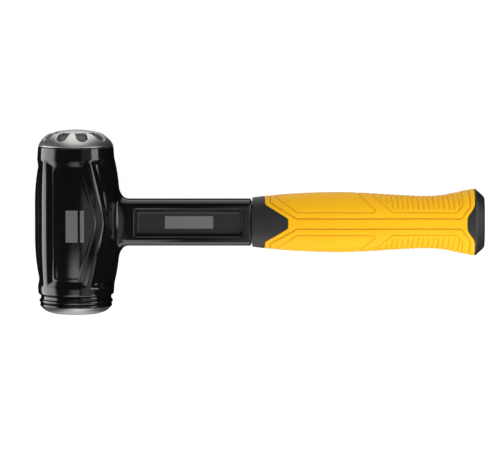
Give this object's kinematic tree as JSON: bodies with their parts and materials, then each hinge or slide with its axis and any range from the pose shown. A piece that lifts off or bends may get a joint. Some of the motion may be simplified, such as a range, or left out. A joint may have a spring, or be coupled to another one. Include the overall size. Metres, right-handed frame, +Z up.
{
  "type": "dead blow hammer",
  "caption": "Short-handled steel club hammer with a shot-filled head, a scalloped crown, a plain striking face and a ribbed rubber grip.",
  "frame": {"origin": "under the middle of the hammer's bounding box, on the surface it lies on with one broad side down", "axes": "+X along the handle from head to tail, +Y along the striking axis towards the scalloped crown, +Z up, out of the handle's broad side"},
  "size_m": [0.28, 0.1146, 0.0511],
  "materials": {
    "black_paint": "gloss black paint on forged steel",
    "ground_steel": "turned and ground bare steel with fine lines",
    "tube_steel": "drawn steel tube",
    "shot_steel": "rolled steel shot, lightly oiled",
    "spring_steel": "blued spring steel",
    "urethane": "cast urethane",
    "black_nylon": "satin moulded nylon",
    "yellow_rubber": "satin moulded thermoplastic rubber"
  },
  "bodies": {
    "hammer": {"head_casing": "black_paint", "crown_plug": "ground_steel", "striking_plug": "ground_steel", "canister_tube": "tube_steel", "canister_lid_crown": "tube_steel", "canister_lid_striking": "tube_steel", "bumper_pad_crown": "urethane", "bumper_pad_striking": "urethane", "crown_lock_wire": "spring_steel", "striking_lock_wire": "spring_steel", "handle_core": "black_nylon", "front_cross_pin": "spring_steel", "rear_cross_pin": "spring_steel", "cap_cross_pin": "spring_steel", "grip_sleeve": "yellow_rubber", "end_cap": "black_nylon"},
    "shot_charge": {"shot_01": "shot_steel", "shot_02": "shot_steel", "shot_03": "shot_steel", "shot_04": "shot_steel", "shot_05": "shot_steel", "shot_06": "shot_steel", "shot_07": "shot_steel", "shot_08": "shot_steel", "shot_09": "shot_steel", "shot_10": "shot_steel", "shot_11": "shot_steel", "shot_12": "shot_steel", "shot_13": "shot_steel", "shot_14": "shot_steel", "shot_15": "shot_steel", "shot_16": "shot_steel", "shot_17": "shot_steel", "shot_18": "shot_steel", "shot_19": "shot_steel", "shot_20": "shot_steel"}
  },
  "joints": [
    {"name": "shot_slide", "type": "slide", "parent": "hammer", "child": "shot_charge", "axis": [0, 1, 0], "range_m": [0, 0.0075]}
  ]
}
